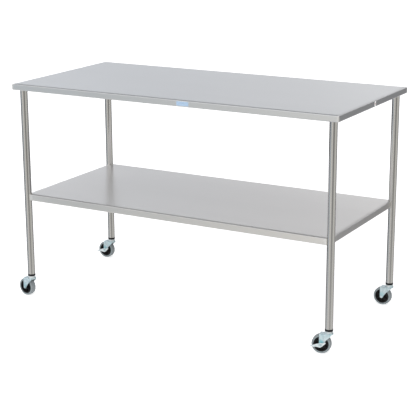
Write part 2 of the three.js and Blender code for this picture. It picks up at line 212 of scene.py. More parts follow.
def brushed_sheet(name, base, rough, haze):
    """Number 4 finish: streaks along the grain, faint haze, worn bends, dressed corners."""
    look = Look(name, Metallic=1.0, Anisotropic=0.6, Anisotropic_Rotation=0.25)
    grain = look.grain_place()
    fine = look.noise(grain, 1.0, (16, 1900, 1), detail=2)
    medium = look.noise(grain, 1.0, (4, 420, 1), detail=3)
    wipes = look.noise(grain, 1.0, (1.6, 9, 1), detail=2)
    broad = look.noise(look.object_place(), 2.2, detail=1)
    streaks = look.math("ADD", look.math("MULTIPLY", fine, 0.7), look.math("MULTIPLY", medium, 0.3))
    dull = grey(base * 0.975, haze - 0.004)
    bright = grey(base * 1.02, haze + 0.002)
    colour = look.mix(look.spread(streaks), dull, bright)
    colour = look.mix(look.spread(broad, 0, 0.6), colour, grey(base * 0.985, haze))
    wear = look.attribute("wear")
    colour = look.mix(look.math("MULTIPLY", wear, 0.4), colour, grey(base * 1.15, 0.0))
    weld = look.attribute("weld")
    swirl = look.noise(look.object_place(), 420, (1, 1, 0.25), detail=2)
    ground = look.mix(look.spread(swirl), grey(base * 1.0, 0.012), grey(base * 1.22, 0.006))
    colour = look.mix(weld, colour, ground)
    roughness = look.spread(medium, rough - 0.01, rough + 0.01)
    roughness = look.math("ADD", roughness, look.spread(wipes, -0.006, 0.006))
    roughness = look.math("ADD", roughness, look.math("MULTIPLY", weld, 0.1))
    look.along_grain()
    return look.finished(colour, roughness, look.bump(streaks, 0.00002, 0.15))


def satin_tube():
    """Polished round tube: long draw lines and a soft sheen."""
    look = Look("satin_tube", Metallic=1.0, Anisotropic=0.3, Anisotropic_Rotation=0.25)
    grain = look.grain_place()
    lines = look.noise(grain, 1.0, (5, 1100, 1), detail=2)
    bands = look.noise(grain, 1.0, (2.0, 90, 1), detail=2)
    patches = look.noise(look.object_place(), 9, (1, 1, 0.5), detail=3)
    colour = look.mix(look.spread(lines), grey(0.57, 0.01), grey(0.615, 0.01))
    colour = look.mix(look.spread(patches, 0, 0.25), colour, grey(0.55, 0.02))
    # By the tube's top: the weld's heat tint, darkened further as painted shade under the socket
    # plate and top.
    heat_tint_and_shade = look.attribute("heat_tint_and_shade")
    tint_and_shade = look.mix(look.spread(patches), (0.30, 0.27, 0.22), (0.22, 0.22, 0.27))
    colour = look.mix(heat_tint_and_shade, colour, tint_and_shade)
    look.along_grain()
    roughness = look.spread(bands, 0.13, 0.18)
    return look.finished(colour, roughness, look.bump(lines, 0.00002, 0.3))


def plain_steel(name, base, rough, scale):
    """Mill-finished or plated steel with a slight mottle."""
    look = Look(name, Metallic=1.0)
    place = look.object_place()
    mottle = look.noise(place, scale, detail=4)
    speck = look.noise(place, scale * 14, detail=2)
    colour = look.mix(look.spread(mottle), grey(base * 0.9), grey(base * 1.08, 0.01))
    roughness = look.spread(mottle, rough - 0.05, rough + 0.07)
    return look.finished(colour, roughness, look.bump(speck, 0.00004, 0.35))


def zinc(name, low, high):
    """Blue-passivated zinc plate: cloudy, spangled, and teal where the dip has pooled."""
    look = Look(name, Metallic=0.7, Specular_IOR_Level=0.6)
    place = look.object_place()
    cloud = look.noise(place, 95, detail=4, roughness=0.65)
    tint = look.noise(place, 34, detail=2)
    speck = look.noise(place, 1600, detail=2)
    colour = look.mix(look.spread(cloud, 0, 1, 0.36, 0.62), low, high)
    colour = look.mix(look.spread(tint, 0, 0.3, 0.55, 0.75), colour, (0.34, 0.62, 0.66))
    colour = look.mix(look.spread(tint, 0.2, 0, 0.22, 0.42), colour, (0.78, 0.77, 0.68))
    pooled = look.math("MULTIPLY", look.attribute("pooled"), look.spread(cloud, 0.55, 1))
    colour = look.mix(pooled, colour, (0.16, 0.52, 0.60))
    roughness = look.spread(cloud, 0.3, 0.42)
    return look.finished(colour, roughness, look.bump(speck, 0.00005, 0.4))


def weld_metal():
    """Bright weld metal with patches of straw and blue heat tint."""
    look = Look("weld_metal", Metallic=1.0)
    place = look.object_place()
    tint = look.noise(place, 180, detail=3)
    colour = look.mix(look.spread(tint), (0.60, 0.59, 0.57), (0.66, 0.62, 0.54))
    colour = look.mix(look.spread(tint, 0, 0.3, 0.6, 0.8), colour, (0.46, 0.49, 0.58))
    roughness = look.spread(tint, 0.28, 0.42)
    normal = look.bump(look.noise(place, 900, detail=3), 0.0002, 0.5)
    return look.finished(colour, roughness, normal)


def moulded(name, low, high, rough, grain, dust, gloss):
    """Moulded plastic or rubber: fine texture, uneven sheen and a little dust."""
    look = Look(name, Specular_IOR_Level=gloss)
    place = look.object_place()
    patches = look.noise(place, 60, detail=4)
    texture = look.noise(place, grain, detail=3)
    dusty = look.noise(place, 150, detail=5, roughness=0.7)
    colour = look.mix(look.spread(patches), low, high)
    colour = look.mix(look.spread(dusty, 0, dust, 0.5, 0.75), colour, (0.2, 0.19, 0.18))
    roughness = look.spread(patches, rough - 0.08, rough + 0.08)
    return look.finished(colour, roughness, look.bump(texture, 0.00012, 0.45))


def tread_rubber():
    """Grey tread: slightly mottled, and scuffed and darker where it rolls."""
    look = Look("grey_tread", Specular_IOR_Level=0.35)
    place = look.object_place()
    patches = look.noise(place, 75, detail=4)
    scuffs = look.noise(place, 420, detail=4, roughness=0.7)
    rolled = look.attribute("rolled")
    colour = look.mix(look.spread(patches), (0.212, 0.248, 0.262), (0.275, 0.312, 0.325))
    soiled = look.mix(look.spread(scuffs), (0.15, 0.16, 0.165), (0.27, 0.29, 0.3))
    colour = look.mix(look.math("MULTIPLY", rolled, 0.65), colour, soiled)
    roughness = look.spread(scuffs, 0.58, 0.8)
    return look.finished(colour, roughness, look.bump(scuffs, 0.0002, 0.5))


def label(name, paper, edge, gloss, dot=None):
    """A blank printed label: an even colour, a border, a dot if it has one, and faint scuffs."""
    look = Look(name, Specular_IOR_Level=0.5)
    place = look.object_place()
    fibres = look.noise(place, 700, detail=4)
    fade = look.noise(place, 40, detail=2)
    colour = look.mix(look.spread(fade), paper, tuple(min(1, c * 1.1) for c in paper))
    colour = look.mix(look.attribute("border"), colour, edge)
    if dot is not None:
        colour = look.mix(look.attribute("dot"), colour, dot)
    roughness = look.spread(fibres, gloss - 0.05, gloss + 0.1)
    return look.finished(colour, roughness, look.bump(fibres, 0.00005, 0.3))


PLASTIC_BLACKS = ((0.003, 0.003, 0.004), (0.008, 0.008, 0.009))
RUBBER_BLACKS = ((0.004, 0.004, 0.005), (0.008, 0.008, 0.009))

# Each look's slot in the record, and its material.
LOOKS = {
    "top": ("brushed_sheet", brushed_sheet("brushed_top", 0.688, 0.33, -0.015)),
    "shelf": ("brushed_sheet", brushed_sheet("brushed_shelf", 0.722, 0.305, 0.016)),
    "tube": ("satin_tube", satin_tube()),
    "mill": ("mill_steel", plain_steel("mill_steel", 0.42, 0.42, 40.0)),
    "plated": ("caster_steel", plain_steel("plated_steel", 0.6, 0.26, 90.0)),
    "cup": ("caster_steel", zinc("zinc_cup", (0.66, 0.73, 0.75), (0.84, 0.88, 0.89))),
    "zinc": ("zinc", zinc("zinc", (0.46, 0.58, 0.63), (0.67, 0.78, 0.825))),
    "pedal": ("zinc", zinc("zinc_pedal", (0.66, 0.76, 0.80), (0.88, 0.93, 0.95))),
    "weld": ("brushed_sheet", weld_metal()),
    "core": ("black_plastic", moulded("black_plastic", *PLASTIC_BLACKS, 0.4, 900.0, 0.04, 0.25)),
    "rubber": ("black_rubber", moulded("black_rubber", *RUBBER_BLACKS, 0.5, 1400.0, 0.03, 0.2)),
    "tread": ("grey_tread", tread_rubber()),
    "plate": ("blue_label", label("blue_label", (0.33, 0.45, 0.60), (0.46, 0.56, 0.68), 0.32)),
    "sticker": (
        "white_label",
        label("white_label", (0.74, 0.74, 0.73), (0.8, 0.8, 0.79), 0.5, dot=(0.42, 0.12, 0.11)),
    ),
}


# ---- mesh building ----


def rounded(points, radius=0, steps=3, closed=True):
    """A polyline with its corners rounded. A point may carry its own radius third."""
    made = []
    count = len(points)
    for i, point in enumerate(points):
        here = Vector(point[:2])
        size = point[2] if len(point) > 2 else radius
        if size <= 0 or (not closed and i in (0, count - 1)):
            made.append(here)
            continue
        before = Vector(points[i - 1][:2]) - here
        after = Vector(points[(i + 1) % count][:2]) - here
        half = before.angle(after) / 2
        reach = min(size / math.tan(half), 0.49 * before.length, 0.49 * after.length)
        start = here + before.normalized() * reach
        end = here + after.normalized() * reach
        for k in range(steps + 1):
            t = k / steps
            made.append(start * (1 - t) ** 2 + here * 2 * t * (1 - t) + end * t * t)
    return made


def no_grain(row, column):
    return (0, 0)


def by_count(row, column):
    return (row * MM, column * MM)


def weave(bm, rows, places, wrap):
    """Quads between rows of vertices, with their grain coordinates."""
    grain = bm.loops.layers.uv.verify()
    for i in range(len(rows) - 1):
        columns = len(rows[i])
        for j in range(columns if wrap else columns - 1):
            corners = [(i, j), (i, j + 1), (i + 1, j + 1), (i + 1, j)]
            picked = []
            for r, c in corners:
                vertex = rows[r][c % columns]
                if all(vertex is not other for other, _ in picked):
                    picked.append((vertex, places(r, c)))
            if len(picked) < 3:
                continue
            face = bm.faces.new([vertex for vertex, _ in picked])
            for loop, (_, place) in zip(face.loops, picked):
                loop[grain].uv = place


def revolve(bm, profile, segments, closed=True):
    """Turns (radius, height) points about Z. A closed profile returns to its start."""
    points = [Vector(p) for p in profile]
    if closed:
        points.append(points[0])
    lengths = [0.0]
    for a, b in zip(points, points[1:]):
        lengths.append(lengths[-1] + (b - a).length)
    widest = max(p.x for p in points)
    rows = []
    for index, (radius, height) in enumerate(points):
        if closed and index == len(points) - 1:
            rows.append(rows[0])
        elif radius < 1e-7:
            rows.append([bm.verts.new((0, 0, height))] * segments)
        else:
            angles = [TURN * j / segments for j in range(segments)]
            ring = [(radius * math.cos(a), radius * math.sin(a), height) for a in angles]
            rows.append([bm.verts.new(spot) for spot in ring])
    weave(bm, rows, lambda r, c: (lengths[r], TURN * widest * c / segments), wrap=True)


def turned(bm, points, segments, steps=3, closed=True):
    """Revolves a profile whose points carry the radius of their corners."""
    revolve(bm, rounded(points, 0, steps, closed), segments, closed)


def mirrored(points):
    """A profile's right half, followed by its left one."""
    return points + [(r, -y, size) for r, y, size in reversed(points)]


def join(bm, other):
    """Moves another bmesh's geometry into this one."""
    spare = bpy.data.meshes.new("spare")
    other.to_mesh(spare)
    other.free()
    bm.from_mesh(spare)
    bpy.data.meshes.remove(spare)


def extrude_outline(bm, outline, low, high):
    """An outline in X and Z as a slab along Y from `low` to `high`."""
    front = [bm.verts.new((p[0], low, p[1])) for p in outline]
    back = [bm.verts.new((p[0], high, p[1])) for p in outline]
    bm.faces.new(front)
    bm.faces.new(list(reversed(back)))
    for i in range(len(outline)):
        j = (i + 1) % len(outline)
        bm.faces.new([front[i], back[i], back[j], front[j]])


def soften(bm, width, segments, angle):
    """Bevels every edge that is sharper than `angle`."""
    bmesh.ops.recalc_face_normals(bm, faces=bm.faces)
    limit = math.radians(angle)
    sharp = [e for e in bm.edges if e.is_manifold and e.calc_face_angle(0) > limit]
    size = {"offset": width, "segments": segments, "profile": 0.5}
    bmesh.ops.bevel(bm, geom=sharp, affect="EDGES", clamp_overlap=True, **size)


def add_piece(name, bm, body, look, nodes=(), place=None, sharp=38.0):
    """Turns a bmesh into a piece that rides on a body and stands for CAD nodes."""
    slot, material = LOOKS[look]
    if place is not None:
        bm.transform(place)
    bmesh.ops.recalc_face_normals(bm, faces=bm.faces)
    mesh = bpy.data.meshes.new(name)
    bm.to_mesh(mesh)
    bm.free()
    if mesh.uv_layers:
        mesh.uv_layers[0].name = "grain"
    mesh.materials.append(material)
    mesh.polygons.foreach_set("use_smooth", [True] * len(mesh.polygons))
    mesh.set_sharp_from_angle(angle=math.radians(sharp))
    piece = bpy.data.objects.new(name, mesh)
    bpy.context.scene.collection.objects.link(piece)
    weighted = piece.modifiers.new("weighted_normals", "WEIGHTED_NORMAL")
    weighted.keep_sharp = True
    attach(piece, body)
    if nodes:
        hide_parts(*nodes)
    return piece


def add_turned(name, node, tag, body, look, place, points, segments, steps=3, closed=True):
    """A piece of one turned profile, in a corner's own frame."""
    bm = bmesh.new()
    turned(bm, points, segments, steps, closed)
    return add_piece(f"{name}_{tag}", bm, body, look, [f"{node}_{tag}"], place=place)


def paint(piece, name, rule):
    """Writes a number per vertex, worked out from its place, for the shader."""
    attribute = piece.data.attributes.new(name, "FLOAT", "POINT")
    attribute.data.foreach_set("value", [rule(v.co) for v in piece.data.vertices])


# ---- top and shelf ----

TOP_SHEET = 1.5 * MM
TOP_BEND = 4.0 * MM
TOP_CORNER = 3 * MM
TOP_LIP = 11 * MM
SHELF_SHEET = 1.2 * MM
SHELF_BEND = 3.2 * MM
SHELF_LIP = 9 * MM
SHELF_NOTCH = LEG_RADIUS + CLEARANCE  # radius of the notches round the legs
ROLL = 12 * MM  # how far in from a bend the sheet starts to fall away
ROLL_DROP = 1.3 * MM


def pan_section(skirt, sheet, bend, lip):
    """The turned-down edge as (inset, drop) points, from the face round to its back."""
    inner = bend - sheet
    roll = [(bend + ROLL * (1 - k / 8), ROLL_DROP * (k / 8) ** 2, 0) for k in range(9)]
    slope = 2 * ROLL_DROP / ROLL
    outside = [(0, ROLL_DROP + slope * bend, bend), (0, skirt, 1.2 * bend)]
    end = [(lip, skirt, 0.45 * sheet), (lip, skirt - sheet, 0.45 * sheet)]
    under = sheet + ROLL_DROP
    inside = [(sheet, skirt - sheet, inner), (sheet, under + slope * bend, inner)]
    inside += [(bend + sheet, under, 0), (bend + ROLL, sheet, 0)]
    return rounded(roll + outside + end + inside, steps=6, closed=False)


def side_steps(start, end):
    """Points along a straight side: close together by its ends, even in between."""
    along = end - start
    length = along.length
    near = [0.004, 0.008, 0.013, 0.02, 0.035]
    reach = [d / length for d in near if d < 0.3 * length]
    even = [0.1 + 0.1 * k for k in range(9)] if reach else []
    middle = [t for t in even if reach[-1] < t < 1 - reach[-1]]
    shares = reach + middle + [1 - t for t in reversed(reach)]
    return [start + along * t for t in shares]


def rounded_outline(half_x, half_y, radius, steps=8, divided=False):
    """A rounded rectangle, as a function that gives its points at an inset."""

    def at(inset):
        size = max(radius - inset, 0.3 * MM)
        x = half_x - inset - size
        y = half_y - inset - size
        points = []
        for quarter, (sx, sy) in enumerate([(1, 1), (-1, 1), (-1, -1), (1, -1)]):
            for k in range(steps + 1):
                angle = (quarter + k / steps) * math.pi / 2
                out = size * math.cos(angle)
                up = size * math.sin(angle)
                points.append(Vector((sx * x + out, sy * y + up)))
        return divide(points, steps + 1) if divided else points

    return at


LONG_SIDE = 0.2


def divide(points, corner):
    """Adds points to the straight sides between corners of `corner` points each."""
    made = []
    for i in range(0, len(points), corner):
        group = points[i : i + corner]
        after = points[(i + corner) % len(points)]
        made += group
        if (after - group[-1]).length > LONG_SIDE:
            made += side_steps(group[-1], after)
    return made


def leg_middle(tag):
    return sum(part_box(f"leg_{tag}"), Vector()) / 2


def notched(bm, radius, low, high):
    """The mesh with a round notch cut out of it at each leg."""
    tools = bmesh.new()
    size = {"radius1": radius, "radius2": radius, "depth": high - low + 20 * MM}
    for tag in CORNERS:
        leg = leg_middle(tag)
        place = Matrix.Translation((leg.x, leg.y, (low + high) / 2))
        bmesh.ops.create_cone(tools, cap_ends=True, segments=72, matrix=place, **size)
    made = []
    for name, source in (("uncut", bm), ("cutter", tools)):
        mesh = bpy.data.meshes.new(name)
        source.to_mesh(mesh)
        source.free()
        made.append(bpy.data.objects.new(name, mesh))
        bpy.context.scene.collection.objects.link(made[-1])
    sheet, cutter = made
    cut = sheet.modifiers.new("notch", "BOOLEAN")
    cut.operation = "DIFFERENCE"
    cut.solver = "EXACT"
    cut.object = cutter
    bpy.context.view_layer.update()
    ready = sheet.evaluated_get(bpy.context.evaluated_depsgraph_get())
    result = bmesh.new()
    result.from_mesh(ready.data)
    for item in made:
        mesh = item.data
        bpy.data.objects.remove(item)
        bpy.data.meshes.remove(mesh)
    return result


def sheet_pan(name, outline, section, node, look, weld_reach, notch=0.0):
    """A pan bent down all round: its face, its skirt and its lip in one sheet."""
    low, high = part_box(node)
    middle = (low + high) / 2
    corners = [(x, y) for x in (low.x, high.x) for y in (low.y, high.y)]
    bm = bmesh.new()
    rings = []
    for inset, drop in section:
        ring = [(middle.x + x, middle.y + y, high.z - drop) for x, y in outline(inset)]
        rings.append([bm.verts.new(spot) for spot in ring])
    weave(bm, rings, no_grain, wrap=True)
    bm.faces.new(rings[0])
    bm.faces.new(list(reversed(rings[-1])))
    bmesh.ops.recalc_face_normals(bm, faces=bm.faces)
    if notch:
        bm = notched(bm, notch, low.z, high.z)
    grain = bm.loops.layers.uv.verify()
    for face in bm.faces:
        ends = abs(face.normal.x) > abs(face.normal.y) and abs(face.normal.z) < 0.9
        sides = not ends and abs(face.normal.z) < 0.9
        for loop in face.loops:
            x, y, z = loop.vert.co
            drop = high.z - z
            along = x + math.copysign(drop, x - middle.x) if ends else x
            across = y + math.copysign(drop, y) if sides else y
            loop[grain].uv = (along, across)
    piece = add_piece(name, bm, "table", look, [node])
    bend = section[0][0] - ROLL

    def wear(place):
        inset_x = min(place.x - low.x, high.x - place.x)
        inset_y = min(place.y - low.y, high.y - place.y)
        inset = min(inset_x, inset_y)
        drop = high.z - place.z
        return 1.0 if inset < 0.8 * bend and ROLL_DROP < drop < bend else 0.0

    def weld(place):
        if high.z - place.z <= 0.3 * bend:
            return 0.0
        near = min(math.hypot(place.x - x, place.y - y) for x, y in corners)
        return max(0.0, min(1.0, 2.5 * (1 - near / weld_reach)))

    paint(piece, "wear", wear)
    paint(piece, "weld", weld)


def make_top():
    section = pan_section(top_high.z - top_low.z, TOP_SHEET, TOP_BEND, TOP_LIP)
    outline = rounded_outline(TABLE_LENGTH / 2, TABLE_WIDTH / 2, TOP_CORNER, divided=True)
    sheet_pan("top_sheet", outline, section, "table_top", "top", 9 * MM)


def make_shelf():
    size = shelf_high - shelf_low
    section = pan_section(size.z, SHELF_SHEET, SHELF_BEND, SHELF_LIP)
    outline = rounded_outline(size.x / 2, size.y / 2, MM, divided=True)
    sheet_pan("shelf_sheet", outline, section, "shelf", "shelf", 40 * MM, SHELF_NOTCH)


def make_channel(name, node):
    """A folded hat channel along X, with bends of the sheet's own radius."""
    low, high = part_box(node)
    sheet = 1.2 * MM
    crown = 20 * MM
    y = (low.y + high.y) / 2
    wide = (high.y - low.y) / 2
    outer = [(-wide, high.z), (-wide, high.z - sheet), (-crown, high.z - sheet, 2.4 * MM)]
    outer += [(-crown, low.z, 2.4 * MM)]
    inner = [(-crown + sheet, low.z + sheet, 1.2 * MM), (-crown + sheet, high.z, 3.0 * MM)]
    section = outer + [(-p[0], *p[1:]) for p in reversed(outer)]
    section += [(-p[0], *p[1:]) for p in inner[::-1]] + inner
    bm = bmesh.new()
    outline = rounded(section)
    extrude_outline(bm, [(p.x, p.y) for p in outline], low.x, high.x)
    turn = Matrix.Translation((0, y, 0)) @ Matrix.Rotation(-math.pi / 2, 4, "Z")
    add_piece(name, bm, "table", "mill", [node], place=turn, sharp=30)


# ---- legs ----

TUBE_WALL = 1.2 * MM
SOCKET_PLATE = 3 * MM
FILLET = ((-0.4, 0), (-0.4, 1.0), (0.12, 0.92), (0.45, 0.45), (0.92, 0.12), (1.0, 0))


def make_leg(tag):
    """The tube, with close rings by its top, where the weld has coloured it and where its colour is
    painted darker as shade under the top.
    """
    low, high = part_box(f"leg_{tag}")
    middle = (low + high) / 2
    inner = LEG_RADIUS - TUBE_WALL
    corners = [(inner, low.z), (LEG_RADIUS, low.z), (LEG_RADIUS, high.z), (inner, high.z)]
    profile = rounded(corners, 0.35 * MM, steps=2)
    levels = [low.z + (high.z - low.z) * k / 12 for k in range(1, 12)]
    levels += [high.z - d * MM for d in (40, 25, 16, 10, 6, 3)]
    outside = LEG_RADIUS - 0.5 * TUBE_WALL
    cut = next(i for i, p in enumerate(profile) if p.y > high.z - MM and p.x > outside)
    profile[cut:cut] = [Vector((LEG_RADIUS, z)) for z in sorted(levels)]
    bm = bmesh.new()
    revolve(bm, profile, 72)
    place = Matrix.Translation((middle.x, middle.y, 0))
    piece = add_piece(f"leg_tube_{tag}", bm, "table", "tube", [f"leg_{tag}"], place=place)
    # The top 16 mm: the weld's heat tint and painted shade under the top.
    paint(piece, "heat_tint_and_shade", lambda co: max(0.0, 1 - (high.z - co.z) / (16 * MM)) ** 1.5)


def make_socket(tag):
    """The plate under the top, with the spigot that the tube is pushed onto."""
    low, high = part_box(f"leg_socket_{tag}")
    middle = (low + high) / 2
    radius = (high.x - low.x) / 2
    spigot = LEG_RADIUS - 1.5 * MM
    face = high.z - SOCKET_PLATE
    profile = [(0, low.z, 0), (spigot, low.z, 2 * MM), (spigot, face, 0)]
    profile += [(radius, face, 1.2 * MM), (radius, high.z, 0.3 * MM), (0, high.z, 0)]
    place = Matrix.Translation((middle.x, middle.y, 0))
    add_turned("socket_plate", "leg_socket", tag, "table", "mill", place, profile, 64, closed=False)


def make_leg_weld(tag):
    """The rippled fillet between the tube's top and its socket plate."""
    plate_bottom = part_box(f"leg_socket_{tag}")[1].z - SOCKET_PLATE
    middle = leg_middle(tag)
    bm = bmesh.new()
    ripples = 96
    rows = []
    for j in range(ripples):
        size = (2.6 + 0.25 * math.sin(j * TURN / 3) + random.uniform(-0.15, 0.15)) * MM
        angle = TURN * j / ripples
        out = Vector((math.cos(angle), math.sin(angle), 0))
        row = []
        for radius, drop in FILLET:
            spot = out * (LEG_RADIUS + radius * size) + Vector((0, 0, -drop * size))
            row.append(bm.verts.new(spot))
        rows.append(row)
    rows.append(rows[0])
    weave(bm, rows, by_count, wrap=True)
    place = Matrix.Translation((middle.x, middle.y, plate_bottom))
    add_piece(f"leg_weld_{tag}", bm, "table", "weld", place=place, sharp=60)


def face_drop(inset):
    """How far the shelf's outer surface lies below its highest point, by its edge."""
    if inset > SHELF_BEND:
        return ROLL_DROP * max(0.0, (SHELF_BEND + ROLL - inset) / ROLL) ** 2
    side = SHELF_BEND - max(inset, 0.0)
    return ROLL_DROP + SHELF_BEND - math.sqrt(SHELF_BEND**2 - side**2)


def make_shelf_weld(tag):
    """A rippled bead: up one skirt's end, round the tube on the face, down the other."""
    leg = leg_middle(tag)
    side_x = math.copysign(1, leg.x - TOP_MIDDLE.x)
    side_y = math.copysign(1, leg.y)
    radius = SHELF_NOTCH
    proud_x = abs((shelf_high.x - shelf_low.x) / 2) - abs(leg.x - TOP_MIDDLE.x)
    proud_y = shelf_high.y - abs(leg.y)
    first = math.asin(proud_y / radius)
    last = -math.pi / 2 - math.asin(proud_x / radius)
    bottom = shelf_low.z + 1.5 * MM
    climb = 26
    round_steps = 44

    def height(angle):
        inset = min(proud_x + radius * math.cos(angle), proud_y - radius * math.sin(angle))
        return shelf_high.z - face_drop(inset)

    def skirt(angle, steps):
        return [(angle, bottom + (height(angle) - bottom) * k / climb) for k in steps]

    turns = [first + (last - first) * k / round_steps for k in range(round_steps + 1)]
    path = skirt(first, range(climb)) + [(angle, height(angle)) for angle in turns]
    path += skirt(last, range(climb - 1, -1, -1))
    spots = []
    for angle, z in path:
        out = Vector((-side_x * math.cos(angle), side_y * math.sin(angle), 0))
        spots.append((Vector((leg.x, leg.y, z)) + out * radius, out))
    bm = bmesh.new()
    rows = []
    for i, (spot, out) in enumerate(spots):
        ahead = spots[min(i + 1, len(spots) - 1)][0] - spots[max(i - 1, 0)][0]
        across = ahead.normalized().cross(out).normalized()
        end = math.sqrt(min(1.0, (min(i, len(spots) - 1 - i) + 0.3) / 3))
        size = (1.5 + 0.16 * math.sin(i * TURN / 2.6) + random.uniform(-0.1, 0.1)) * MM * end
        angles = [TURN * j / 10 for j in range(10)]
        ring = [spot + (out * math.cos(a) + across * math.sin(a)) * size for a in angles]
        rows.append([bm.verts.new(p) for p in ring])
    weave(bm, rows, by_count, wrap=True)
    bm.faces.new(list(reversed(rows[0])))
    bm.faces.new(rows[-1])
    add_piece(f"shelf_weld_{tag}", bm, "table", "weld", sharp=60)


# ---- labels ----


def make_label(name, node, look, normal, corner, border, dot=0.0):
    """A thin label with rounded corners. `normal` is X or Y, the way it faces."""
    low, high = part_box(node)
    middle = (low + high) / 2
    size = high - low
    along, thick = (size.x, size.y) if normal == "Y" else (size.y, size.x)
    outline = rounded_outline(along / 2, size.z / 2, corner, steps=5)
    insets = (border, border * 0.85, 0.06 * MM)
    rings = [[(x, z, -0.5) for x, z in outline(inset)] for inset in insets]
    rings += [[(x, z, level) for x, z in outline(0)] for level in (-0.3, 0.5)]
    marks = [0.0, 1.0, 1.0, 1.0, 1.0]
    if dot:
        angles = [math.atan2(z, x) for x, z, _ in rings[0]]
        for radius in (dot * 1.08, dot):
            rings.insert(0, [(radius * math.cos(a), radius * math.sin(a), -0.5) for a in angles])
            marks.insert(0, 0.0)
    bm = bmesh.new()
    loops = [[bm.verts.new((x, level * thick, z)) for x, z, level in ring] for ring in rings]
    weave(bm, loops, no_grain, wrap=True)
    bm.faces.new(loops[0])
    bm.faces.new(list(reversed(loops[-1])))
    place = Matrix.Translation(middle)
    if normal == "X":
        place = place @ Matrix.Rotation(math.pi / 2, 4, "Z")
    piece = add_piece(name, bm, "table", look, [node], place=place)
    values = [mark for ring, mark in zip(rings, marks) for _ in ring]
    attribute = piece.data.attributes.new("border", "FLOAT", "POINT")
    attribute.data.foreach_set("value", values)
    if dot:
        paint(piece, "dot", lambda co: 1.0 if (co - middle).yz.length < 1.04 * dot else 0.0)


# ---- casters ----

UPRIGHT_TO_AXLE = Matrix.Rotation(-math.pi / 2, 4, "X")  # turns Z onto Y
AXLE_PLACE = Matrix.Translation((AXLE_X, 0, AXLE_Z)) @ UPRIGHT_TO_AXLE
STEM_BORE = 5.3 * MM
AXLE_BORE = 4.3 * MM
BOLT_SEAT = 18.3 * MM  # from the wheel's middle to the bolt's flange
BRAKE_SEAT = BOLT_SEAT + 4.2 * MM  # with a brake's washer and lever in between
FORK_SHEET = 2.4 * MM
FORK_CUP = 4 * MM  # how far the cup stands above the fork's crown
FORK_HALF = 18 * MM  # half the fork's width
FORK_BEND = 4.5 * MM
BALLS = 14
CORE_RIBS = 6
# How strongly each fork is stained where the dip has pooled.
POOLED = {"front_left": 0.3, "front_right": 1.0, "back_left": 0.8, "back_right": 0.5}


def make_sleeve(tag, place):
    """The rubber expander: a plug in the tube, and a collar that laps the tube's end."""
    node = "caster_sleeve"
    low, high = square_box(node)
    collar = half_size(node).x
    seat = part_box(f"leg_{SQUARE}")[0].z - CLEARANCE
    edge = collar - 0.35 * MM
    plug = LEG_RADIUS - 1.8 * MM
    lap = LEG_RADIUS + 0.1 * MM
    lip = seat + 1.6 * MM
    profile = [(STEM_BORE, low.z, 0.5 * MM), (edge, low.z, 1.1 * MM)]
    profile += [(collar, (low.z + seat) / 2, 4 * MM), (edge, lip, 0.4 * MM)]
    profile += [(lap, lip, 0), (lap, seat, 0), (plug, seat, 0)]
    profile += [(plug, high.z, 1.0 * MM), (STEM_BORE, high.z, 0.5 * MM)]
    add_turned("rubber_sleeve", node, tag, "table", "rubber", place, profile, 64, steps=4)


def make_stem(tag, place):
    """The king bolt, its head under the crown, and the nut on it inside the tube."""
    low, high = square_box("caster_stem")
    shank = 5 * MM
    head = 8.5 * MM
    head_top = square_box("fork")[1].z - FORK_CUP - FORK_SHEET - CLEARANCE
    nut = 9 * MM
    nut_low = high.z - 12 * MM
    nut_high = nut_low + 7 * MM
    bm = bmesh.new()
    bolt = [(0, low.z, 0), (0.78 * head, low.z, 1.6 * MM), (head, head_top - 2.4 * MM, 0.8 * MM)]
    bolt += [(head, head_top, 0.3 * MM), (shank, head_top, 0)]
    bolt += [(shank, high.z, 0.8 * MM), (0, high.z, 0)]
    turned(bm, bolt, 40, closed=False)
    flats = [(shank, nut_low), (nut, nut_low), (nut, nut_high), (shank, nut_high)]
    revolve(bm, rounded(flats, 0.8 * MM), 6)
    add_piece(f"king_bolt_{tag}", bm, "table", "plated", [f"caster_stem_{tag}"], place=place)


def make_race(tag, place):
    """The pressed upper cup, stepped in towards the collar."""
    low, high = square_box("upper_race")
    radius = half_size("upper_race").x
    ball = 12 * MM
    inner = ball - 4 * MM
    outer = ball + 3.2 * MM
    roof = low.z + 4.2 * MM
    neck = radius - 2.0 * MM
    profile = [(STEM_BORE, low.z, 0.4 * MM), (inner, low.z, 0.4 * MM), (inner, roof, 2.2 * MM)]
    profile += [(outer, roof, 2.2 * MM), (outer, low.z, 0.3 * MM), (radius, low.z, 0.5 * MM)]
    profile += [(radius, low.z + 6.5 * MM, 1.6 * MM), (neck, high.z - 2.6 * MM, 1.0 * MM)]
    profile += [(neck - 0.6 * MM, high.z, 0.9 * MM), (STEM_BORE, high.z, 0.4 * MM)]
    add_turned("race_cup", "upper_race", tag, "table", "cup", place, profile, 64, steps=4)


def make_balls(tag, body, place):
    low, high = square_box("ball_ring")
    size = half_size("ball_ring")
    pitch = size.x - 2.6 * MM
    out = Matrix.Translation((pitch, 0, (low.z + high.z) / 2))
    bm = bmesh.new()
    for i in range(BALLS):
        spot = Matrix.Rotation(TURN * i / BALLS, 4, "Z") @ out
        bmesh.ops.create_icosphere(bm, subdivisions=3, radius=size.z, matrix=spot)
    add_piece(f"balls_{tag}", bm, body, "plated", [f"ball_ring_{tag}"], place=place)


